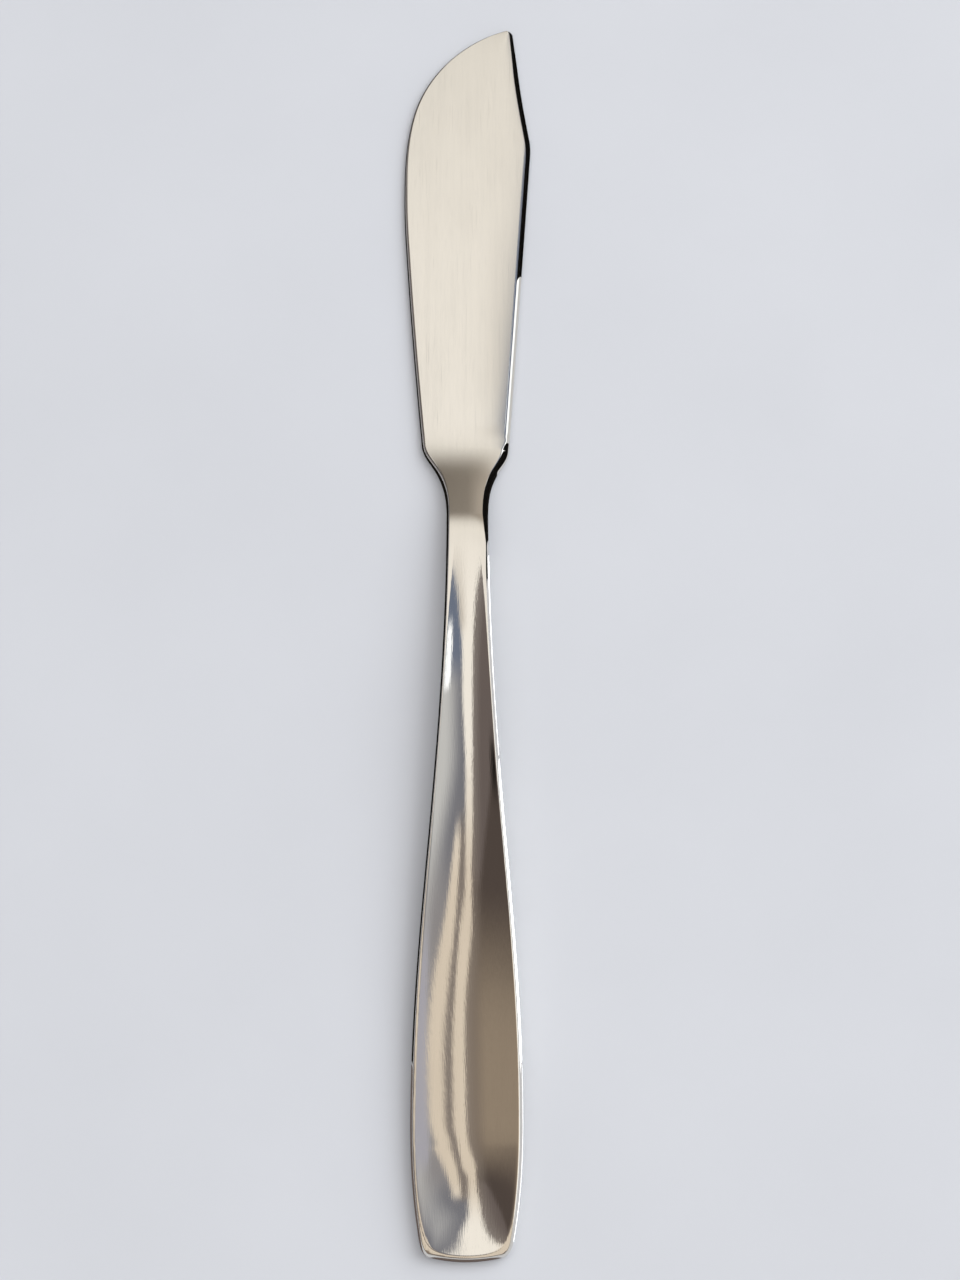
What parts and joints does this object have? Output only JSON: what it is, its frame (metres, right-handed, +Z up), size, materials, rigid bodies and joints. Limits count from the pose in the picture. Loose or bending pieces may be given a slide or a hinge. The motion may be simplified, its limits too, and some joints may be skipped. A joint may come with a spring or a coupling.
{
  "type": "fish knife",
  "caption": "One-piece stainless steel fish knife: broad curved blade with a kinked spine, ground shoulders, slim neck and an arched, dished handle that widens to a rounded butt.",
  "frame": {"origin": "under the middle of the knife's box, on the surface that it lies on", "axes": "+Y along the knife towards the tip, +X across it from the cutting edge to the spine, +Z up through the face"},
  "size_m": [0.0214, 0.208, 0.0058],
  "materials": {
    "stainless_steel": "lengthwise satin grain on the blade, polished handle"
  },
  "bodies": {
    "root": {"fish_knife": "stainless_steel"}
  },
  "joints": []
}
